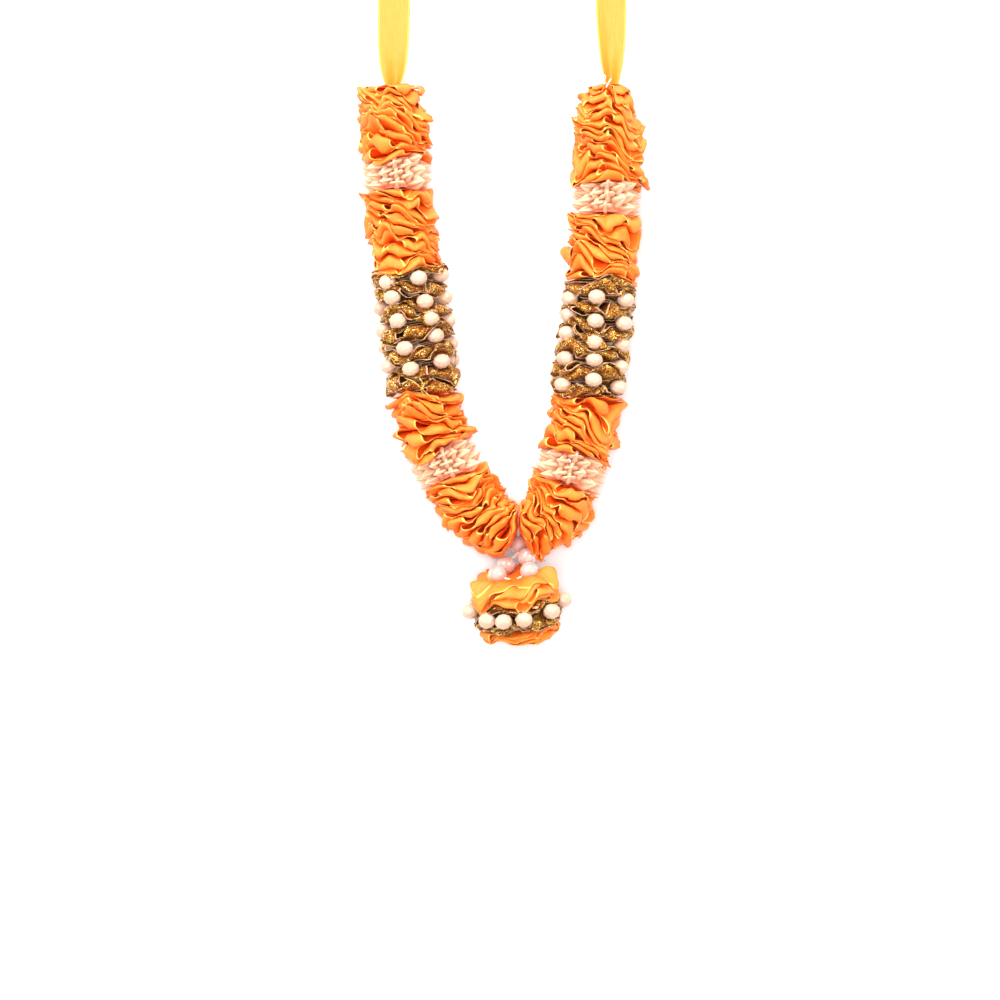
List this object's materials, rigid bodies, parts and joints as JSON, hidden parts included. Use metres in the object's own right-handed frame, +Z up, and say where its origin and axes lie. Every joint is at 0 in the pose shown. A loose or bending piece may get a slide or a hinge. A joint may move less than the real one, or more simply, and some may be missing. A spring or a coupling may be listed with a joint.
{
  "type": "ribbon flower garland",
  "caption": "Garland of folded orange satin ribbon with pale bud bands, bead-studded gold zari bands, a pendant on pearls and yellow ribbon ties, laid flat in a long V",
  "frame": {"origin": "bottom centre of the garland's bounding box, on the surface it lies on", "axes": "+X to the right of the two strands as seen from above, +Y from the pendant towards the ties, +Z up from the surface"},
  "size_m": [0.1388, 0.4232, 0.0493],
  "materials": {
    "orange_satin": "satin",
    "yellow_satin": "satin",
    "gold_zari": "metallic weave",
    "cream_bead": "faceted gloss",
    "bud_white": "matte",
    "pearl": "pearl",
    "white_thread": "matte"
  },
  "bodies": {
    "root": {"left_beads": "cream_bead", "left_gold": "gold_zari", "left_orange_1": "orange_satin", "left_orange_2": "orange_satin", "left_orange_3": "orange_satin", "left_orange_4": "orange_satin", "left_tie": "yellow_satin", "left_white_1": "bud_white", "left_white_2": "bud_white", "pearl_head": "pearl", "pearl_left_lower": "pearl", "pearl_left_upper": "pearl", "pearl_right_lower": "pearl", "pearl_right_upper": "pearl", "pendant_beads": "cream_bead", "pendant_gold": "gold_zari", "pendant_lower": "orange_satin", "pendant_upper": "orange_satin", "right_beads": "cream_bead", "right_gold": "gold_zari", "right_orange_1": "orange_satin", "right_orange_2": "orange_satin", "right_orange_3": "orange_satin", "right_orange_4": "orange_satin", "right_tie": "yellow_satin", "right_white_1": "bud_white", "right_white_2": "bud_white", "stringing_thread": "white_thread"}
  },
  "joints": []
}
